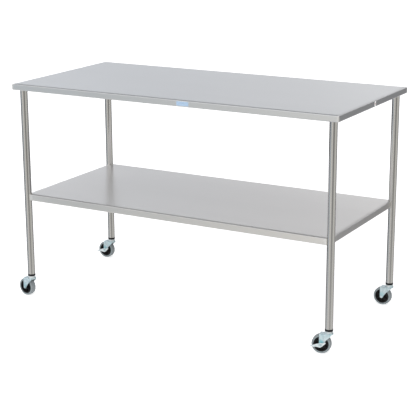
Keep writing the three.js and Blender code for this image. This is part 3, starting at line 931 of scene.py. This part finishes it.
def fork_edges(low, high, crown):
    """The fork leg's back and front edges, as lists of (height, x) going up."""
    eye = AXLE_Z - low.z
    front = 11 * MM
    shoulder = crown - 7.4 * MM
    slope = math.atan2(shoulder - AXLE_Z, front - AXLE_X - eye)
    first = math.radians(8)

    def round_eye(side, last, steps):
        angles = [first + (last - first) * k / steps for k in range(steps + 1)]
        return [(AXLE_Z - eye * math.cos(a), AXLE_X + side * eye * math.sin(a)) for a in angles]

    back_edge = round_eye(-1, math.pi / 2, 8) + [(shoulder, low.x), (high.z, low.x)]
    front_edge = round_eye(1, slope, 6)
    start = Vector((front_edge[-1][1], front_edge[-1][0]))
    control = Vector((-9.5 * MM, shoulder - 15 * MM))
    end = Vector((front, shoulder))
    for k in range(1, 9):
        t = k / 8
        point = start * (1 - t) ** 2 + control * 2 * t * (1 - t) + end * t * t
        front_edge.append((point.y, point.x))
    front_edge.append((high.z, front))
    return back_edge, front_edge


def at_height(edge, height):
    """Reads an edge's x at a height."""
    for (z0, x0), (z1, x1) in zip(edge, edge[1:]):
        if z0 <= height <= z1:
            return x0 + (x1 - x0) * (height - z0) / (z1 - z0)
    return edge[0][1] if height < edge[0][0] else edge[-1][1]


def fork_section(crown, eye):
    """The bent sheet from one leg's foot over the crown to the other's, as (y, z)."""
    low = crown - FORK_BEND
    flat = FORK_HALF - FORK_BEND
    heights = [AXLE_Z - eye * math.cos(math.radians(a)) for a in (8, 20, 34, 50, 68, 90)]
    heights += [AXLE_Z + (low - AXLE_Z) * k / 12 for k in range(1, 13)]
    section = [(FORK_HALF, z) for z in heights]
    for k in range(1, 7):
        angle = math.pi / 2 * k / 6
        section.append((flat + FORK_BEND * math.cos(angle), low + FORK_BEND * math.sin(angle)))
    section += [(flat * (1 - k / 6), crown) for k in range(1, 7)]
    return section + [(-y, z) for y, z in reversed(section[:-1])]


def make_fork(tag, body, place):
    """One pressed sheet: a crown bent down into two legs, with a cup on top."""
    low, high = square_box("fork")
    crown = high.z - FORK_CUP
    bend_low = crown - FORK_BEND
    flat = FORK_HALF - FORK_BEND
    crown_radius = high.x
    back_edge, front_edge = fork_edges(low, high, crown)
    columns = 10
    skins = []
    bm = bmesh.new()
    for depth in (0, FORK_SHEET):
        skin = []
        for y, z in fork_section(crown, AXLE_Z - low.z):
            side = math.copysign(1, y)
            outward = Vector((0, y - side * flat, z - bend_low))
            if z <= bend_low:
                outward = Vector((0, side, 0))
            elif abs(y) <= flat:
                outward = Vector((0, 0, 1))
            outward.normalize()
            spot = Vector((0, y, z)) - outward * depth
            back = at_height(back_edge, z)
            front = at_height(front_edge, z)
            if z > bend_low:
                front = max(front, math.sqrt(max(0.0, crown_radius**2 - y * y)))
            across = [back + (front - back) * c / columns for c in range(columns + 1)]
            skin.append([bm.verts.new((x, spot.y, spot.z)) for x in across])
        skins.append(skin)
    outer, inner = skins
    for skin in skins:
        weave(bm, skin, by_count, wrap=False)
    for c in (0, columns):
        edges = [[row[c] for row in skin] for skin in skins]
        weave(bm, edges, no_grain, wrap=False)
    for r in (0, -1):
        weave(bm, [outer[r], inner[r]], no_grain, wrap=False)
    soften(bm, 0.5 * MM, 2, 50)
    race = half_size("upper_race").x
    foot = crown - 1.2 * MM
    rim = [(race + 0.5 * MM, foot, 0), (crown_radius, foot, 0)]
    rim += [(crown_radius, high.z, 0.9 * MM), (race + 0.7 * MM, high.z, 0.5 * MM)]
    turned(bm, rim, 64)
    piece = add_piece(f"fork_plate_{tag}", bm, body, "zinc", [f"fork_{tag}"], place=place)
    pool = place @ Vector((AXLE_X + 1 * MM, -FORK_HALF, AXLE_Z + 9 * MM))

    def pooled(co):
        return POOLED[tag] * max(0.0, 1 - ((co - pool).length / (15 * MM)) ** 2)

    paint(piece, "pooled", pooled)


def make_ring(name, node, tag, body, axle, corner, segments):
    """A plain ring on the axle bolt: the wheel's bush, or the brake's washer."""
    low, high = square_box(node)
    radius = half_size(node).z
    corners = [(AXLE_BORE, low.y), (radius, low.y), (radius, high.y), (AXLE_BORE, high.y)]
    profile = [(*point, corner) for point in corners]
    add_turned(name, node, tag, body, "plated", axle, profile, segments, steps=2)


def make_axle_bolt(tag, body, axle):
    """A hex-headed bolt on its own flange, with the shank's end past the nut."""
    seat = -BRAKE_SEAT if tag in BRAKED else -BOLT_SEAT
    end = square_box("axle_bolt")[1].y
    flange = 5.6 * MM
    flange_top = seat - 1.0 * MM
    shank = 4 * MM
    head_low = seat - 0.9 * MM
    head_top = seat - 2.8 * MM
    bm = bmesh.new()
    bolt = [(0, flange_top, 0), (flange, flange_top, 0.5 * MM), (flange, seat, 0.2 * MM)]
    bolt += [(shank, seat, 0), (shank, end, 0.8 * MM), (0, end, 0)]
    turned(bm, bolt, 40, closed=False)
    head = [(0, head_top, 0), (4.8 * MM, head_top, 0.7 * MM), (5.0 * MM, head_low, 0)]
    turned(bm, head + [(0, head_low, 0)], 6, closed=False)
    add_piece(f"bolt_{tag}", bm, body, "zinc", [f"axle_bolt_{tag}"], place=axle, sharp=25)


def make_axle_nut(tag, body, axle):
    """A hex nut with a round collar on its outer face."""
    low, high = square_box("axle_nut")
    bore = 4.2 * MM
    radius = 6.9 * MM
    step = high.y - 1.4 * MM
    root = high.y - 1.6 * MM
    bm = bmesh.new()
    flats = [(bore, low.y), (radius, low.y), (radius, step), (bore, step)]
    revolve(bm, rounded(flats, 0.6 * MM, 2), 6)
    collar = [(bore, root), (5.4 * MM, root), (5.2 * MM, high.y), (bore, high.y)]
    revolve(bm, rounded(collar, 0.5 * MM, 2), 32)
    add_piece(f"nut_{tag}", bm, body, "zinc", [f"axle_nut_{tag}"], place=axle, sharp=25)


def make_core(tag, body, axle):
    """Moulded core: rim, hub and web, with ribs between hub and rim on each side."""
    side = square_box("wheel_core")[1].y
    radius = half_size("wheel_core").z
    rim_face = 12.4 * MM
    rim_inner = radius - 4.4 * MM
    web = 4 * MM
    hub = 10.8 * MM
    right = [(6.5 * MM, side, 0.4 * MM), (hub, side, 0.8 * MM)]
    right += [(hub + 1.1 * MM, web, 1.6 * MM), (rim_inner - 0.6 * MM, web, 1.6 * MM)]
    right += [(rim_inner, rim_face, 0.6 * MM), (radius, rim_face, 0.5 * MM)]
    bm = bmesh.new()
    turned(bm, mirrored(right), 96)
    ribs = bmesh.new()
    size = Matrix.Diagonal((rim_inner - hub + 1.6 * MM, 2.6 * MM, 7.6 * MM, 1))
    for way in (-1, 1):
        out = Matrix.Translation(((hub + rim_inner) / 2, 0, way * (web + 3.2 * MM)))
        for i in range(CORE_RIBS):
            turn = Matrix.Rotation(TURN * (i + 0.5) / CORE_RIBS, 4, "Z")
            bmesh.ops.create_cube(ribs, size=1, matrix=turn @ out @ size)
    soften(ribs, 0.7 * MM, 3, 60)
    join(bm, ribs)
    add_piece(f"core_{tag}", bm, body, "core", [f"wheel_core_{tag}"], place=axle, sharp=45)


def make_tyre(tag, body, axle):
    """Grey tread: soft shoulders, a crowned running face and a raised bead."""
    side = square_box("tyre")[1].y
    inner = half_size("wheel_core").z + CLEARANCE
    radius = AXLE_Z
    right = [(inner, side - 0.9 * MM, 0.4 * MM), (inner + 1.4 * MM, side - 0.9 * MM, 0.3 * MM)]
    right += [(inner + 1.9 * MM, side - 0.2 * MM, 0.4 * MM), (inner + 3.4 * MM, side, 0.8 * MM)]
    right += [(radius - 1.2 * MM, side - 0.8 * MM, 2.6 * MM)]
    right += [(radius, side - 5.2 * MM, 2.2 * MM)]
    profile = mirrored(right)
    piece = add_turned("tread", "tyre", tag, body, "tread", axle, profile, 120, steps=5)

    def rolled(co):
        share = (co - axle.translation).length / radius
        return max(0.0, min(1.0, (share - 0.935) / 0.07))

    paint(piece, "rolled", rolled)


# ---- brakes ----

# The lever's outline between its pedal's two corners: (x, z, corner radius) in millimetres.
LEVER = [(-12, -10, 12), (-1, -12, 14), (8, -5, 10), (21.5, 8.3, 3), (18.6, 13, 2)]
LEVER += [(8, 7.6, 6), (0, 8.8, 8), (-8, 6, 10), (-20, 2, 10), (-33, -4, 8)]


def make_lever(tag, body, place):
    """A pressed lever: a boomerang plate with its pedal edge turned out."""
    low, high = square_box("brake_lever")
    reach = AXLE_X - low.x
    sheet = 2 * MM
    inner_face = high.y
    outer_face = inner_face - sheet
    outline = [(-reach, -8.5 * MM, 0.8 * MM)]
    outline += [(x * MM, z * MM, corner * MM) for x, z, corner in LEVER]
    outline += [(-reach, -5.5 * MM, 0.8 * MM)]
    bm = bmesh.new()
    extrude_outline(bm, rounded(outline, steps=5), outer_face, inner_face)
    soften(bm, 0.45 * MM, 3, 40)
    tab = bmesh.new()
    start = -reach + 0.6 * MM
    end = -reach + 24 * MM
    base = -8.4 * MM
    back = inner_face - 0.4 * MM
    top = base + sheet * 0.9
    section = [(back, base + 3 * MM, 0), (back, base, 2.2 * MM), (low.y, base, 0.4 * MM)]
    section += [(low.y, top, 0.4 * MM), (outer_face, top, 0.6 * MM)]
    section += [(outer_face, base + 3 * MM, 0)]
    rows = []
    for k in range(13):
        t = k / 12
        squeeze = 1 - 0.55 * (2 * abs(t - 0.5)) ** 6
        row = []
        for y, z in rounded(section, steps=4):
            out = outer_face + (y - outer_face) * squeeze if y < outer_face else y
            row.append(tab.verts.new((start + (end - start) * t, out, z)))
        rows.append(row)
    weave(tab, rows, no_grain, wrap=True)
    tab.faces.new(list(reversed(rows[0])))
    tab.faces.new(rows[-1])
    join(bm, tab)
    eye = bmesh.new()
    ring = [(6.4, -0.3), (8.2, -0.3), (8.0, 0.5), (6.6, 0.5)]
    ring = [(radius * MM, level * MM) for radius, level in ring]
    revolve(eye, rounded(ring, 0.15 * MM, 2), 40)
    turn = Matrix.Rotation(math.pi / 2, 4, "X")
    eye.transform(Matrix.Translation((0, outer_face, 0)) @ turn)
    join(bm, eye)
    axle = place @ Matrix.Translation((AXLE_X, 0, AXLE_Z))
    add_piece(f"pedal_{tag}", bm, body, "pedal", [f"brake_lever_{tag}"], place=axle)


# ---- studio ----

FLOOR_HALF = 20.0
FLOOR_GREY = (0.9, 0.9, 0.9, 1)
FLOOR_DROP = 0.0006  # keeps the floor just clear of the tyres


def make_floor():
    """A pale, faintly glowing floor that the metal doesn't mirror."""
    bm = bmesh.new()
    bmesh.ops.create_grid(bm, x_segments=1, y_segments=1, size=FLOOR_HALF)
    mesh = bpy.data.meshes.new("floor")
    bm.to_mesh(mesh)
    bm.free()
    material = bpy.data.materials.new("floor")
    material.use_nodes = True
    shader = material.node_tree.nodes["Principled BSDF"]
    shader.inputs["Base Color"].default_value = FLOOR_GREY
    shader.inputs["Roughness"].default_value = 0.95
    shader.inputs["Specular IOR Level"].default_value = 0.0
    shader.inputs["Emission Color"].default_value = (1, 1, 1, 1)
    shader.inputs["Emission Strength"].default_value = 0.56
    mesh.materials.append(material)
    floor = bpy.data.objects.new("floor", mesh)
    floor.location.z = -FLOOR_DROP
    floor.visible_glossy = False
    bpy.context.scene.collection.objects.link(floor)


# What the metal mirrors just under the horizon and just over it, by bearing.
RING = [
    (-180, 0.75, 0.75, 0.76),
    (-168, 0.35, 0.35, 0.36),
    (-157, 0.11, 0.11, 0.12),
    (-105, 0.08, 0.08, 0.09),
    (-82, 0.10, 0.11, 0.12),
    (-66, 0.34, 0.37, 0.41),
    (-50, 0.88, 0.93, 0.97),
    (-38, 0.32, 0.38, 0.42),
    (-31, 0.50, 0.51, 0.50),
    (-21, 0.95, 0.92, 0.85),
    (-8, 0.86, 0.84, 0.79),
    (14, 0.66, 0.65, 0.62),
    (33, 0.28, 0.28, 0.27),
    (47, 0.23, 0.22, 0.21),
    (62, 0.53, 0.52, 0.48),
    (90, 0.80, 0.79, 0.74),
    (124, 0.62, 0.61, 0.58),
    (142, 0.26, 0.26, 0.27),
    (160, 0.15, 0.15, 0.16),
    (169, 0.33, 0.33, 0.34),
    (180, 0.75, 0.75, 0.76),
]
HORIZON = [
    (-180, 1.95, 1.95, 1.95),
    (-168, 1.92, 1.92, 1.92),
    (-160, 1.60, 1.60, 1.61),
    (-154, 1.32, 1.33, 1.36),
    (-148, 1.19, 1.22, 1.27),
    (-136, 1.30, 1.34, 1.40),
    (-90, 1.05, 1.07, 1.10),
    (0, 1.00, 1.00, 1.00),
    (90, 0.85, 0.85, 0.85),
    (130, 0.40, 0.40, 0.41),
    (160, 0.40, 0.40, 0.41),
    (176, 1.95, 1.95, 1.95),
]
FLOOR_GLOW = (0.85, 0.85, 0.84)
FRONT_LIGHT = (1.10, 1.10, 1.10)
BACK_DARK = (0.22, 0.22, 0.23)


def make_world():
    """A white room to look at, and a studio with darker sides for the metal to mirror."""
    world = bpy.data.worlds.new("studio")
    bpy.context.scene.world = world
    world.use_nodes = True
    room = Shading(world.node_tree)

    def smooth(value, start, end):
        return room.spread(value, start=start, end=end, curve="SMOOTHSTEP")

    def around(stops):
        """A colour for each bearing: 0 is the front, 90 the right, 180 the back."""
        node = room.add("ShaderNodeValToRGB")
        node.color_ramp.interpolation = "EASE"
        room.link(bearing, node, 0)
        points = node.color_ramp.elements
        while len(points) < len(stops):
            points.new(0.5)
        for point, (degrees, *_) in zip(points, stops):
            point.position = degrees / 360 + 0.5
        for point, (_, *colour) in zip(points, stops):
            point.color = (*colour, 1)
        return node.outputs["Color"]

    split = room.add("ShaderNodeSeparateXYZ")
    room.link(room.add("ShaderNodeTexCoord").outputs["Generated"], split, 0)
    x, y, z = split.outputs
    turn = room.math("ARCTAN2", x, room.math("MULTIPLY", y, -1.0))
    bearing = room.math("MULTIPLY_ADD", turn, 1 / TURN, 0.5)
    lower = room.mix(smooth(z, -0.55, -0.2), FLOOR_GLOW, around(RING))
    dark_share = room.math("MULTIPLY", smooth(z, 0.26, 0.42), smooth(z, 0.92, 0.78))
    dark_share = room.math("MULTIPLY", dark_share, smooth(y, 0.05, 0.3))
    lit = room.mix(smooth(y, 0.3, -0.2), around(HORIZON), FRONT_LIGHT)
    upper = room.mix(dark_share, lit, BACK_DARK)
    light = room.add("ShaderNodeBackground")
    room.link(room.mix(smooth(z, -0.01, 0.07), lower, upper), light, "Color")
    seen = room.add("ShaderNodeBackground")
    seen.inputs["Color"].default_value = (1, 1, 1, 1)
    seen.inputs["Strength"].default_value = 1.02
    choose = room.add("ShaderNodeMixShader")
    room.link(room.add("ShaderNodeLightPath").outputs["Is Camera Ray"], choose, 0)
    room.link(light.outputs[0], choose, 1)
    room.link(seen.outputs[0], choose, 2)
    output = room.add("ShaderNodeOutputWorld")
    room.link(choose.outputs[0], output, "Surface")


def area_light(name, spot, target, size, power):
    data = bpy.data.lights.new(name, "AREA")
    data.shape = "RECTANGLE"
    data.size, data.size_y = size
    data.energy = power
    light = bpy.data.objects.new(name, data)
    light.location = spot
    light.rotation_euler = (Vector(target) - Vector(spot)).to_track_quat("-Z", "Y").to_euler()
    light.visible_glossy = False
    bpy.context.scene.collection.objects.link(light)


LENS = 108.67
VIEWPOINT = (1.6956, -3.0234, 1.2246)  # in table lengths, from under the top's middle
VIEW_TURN = 0.5111
VIEW_DIP = 0.2665
VIEW_ROLL = -0.0041


def make_camera():
    """The viewpoint, its angles in radians, and the lens."""
    data = bpy.data.cameras.new("camera")
    data.sensor_width = 36.0
    data.lens = LENS
    camera = bpy.data.objects.new("camera", data)
    place = TOP_MIDDLE + Vector(VIEWPOINT) * TABLE_LENGTH
    turn = Matrix.Rotation(VIEW_TURN, 4, "Z")
    tilt = Matrix.Rotation(math.pi / 2 - VIEW_DIP, 4, "X")
    roll = Matrix.Rotation(VIEW_ROLL, 4, "Z")
    camera.matrix_world = Matrix.Translation(place) @ turn @ tilt @ roll
    bpy.context.scene.collection.objects.link(camera)
    bpy.context.scene.camera = camera


# ---- everything ----

make_camera()
make_world()
area_light("key", (-1.6, -3.2, 3.2), (0, 0, 0.5), (2.6, 2.0), 8)
area_light("fill", (3.4, -1.4, 2.4), (0, 0, 0.5), (2.2, 2.2), 5)
make_floor()
bpy.context.scene.view_settings.view_transform = "Standard"

make_top()
make_shelf()
make_channel("top_rail_front", "top_channel_front")
make_channel("top_rail_back", "top_channel_back")
make_channel("shelf_rail", "shelf_channel")
make_label("blank_plate", "maker_plate", "plate", "Y", 1.5 * MM, 1.2 * MM)
make_label("blank_sticker", "end_sticker", "sticker", "X", 1.0 * MM, 0.8 * MM, dot=4 * MM)

for tag in CORNERS:
    make_leg(tag)
    make_socket(tag)
    make_leg_weld(tag)
    make_shelf_weld(tag)
    place = caster_frame(tag)
    axle = place @ AXLE_PLACE
    swivel = f"swivel_{tag}"
    wheel = f"wheel_{tag}"
    make_sleeve(tag, place)
    make_stem(tag, place)
    make_race(tag, place)
    make_balls(tag, swivel, place)
    make_fork(tag, swivel, place)
    make_ring("axle_bush", "wheel_bush", tag, swivel, axle, 0.4 * MM, 40)
    make_axle_bolt(tag, swivel, axle)
    make_axle_nut(tag, swivel, axle)
    make_core(tag, wheel, axle)
    make_tyre(tag, wheel, axle)
    if tag in BRAKED:
        make_ring("cam_washer", "brake_cam", tag, swivel, axle, 0.3 * MM, 48)
        make_lever(tag, f"brake_{tag}", place)
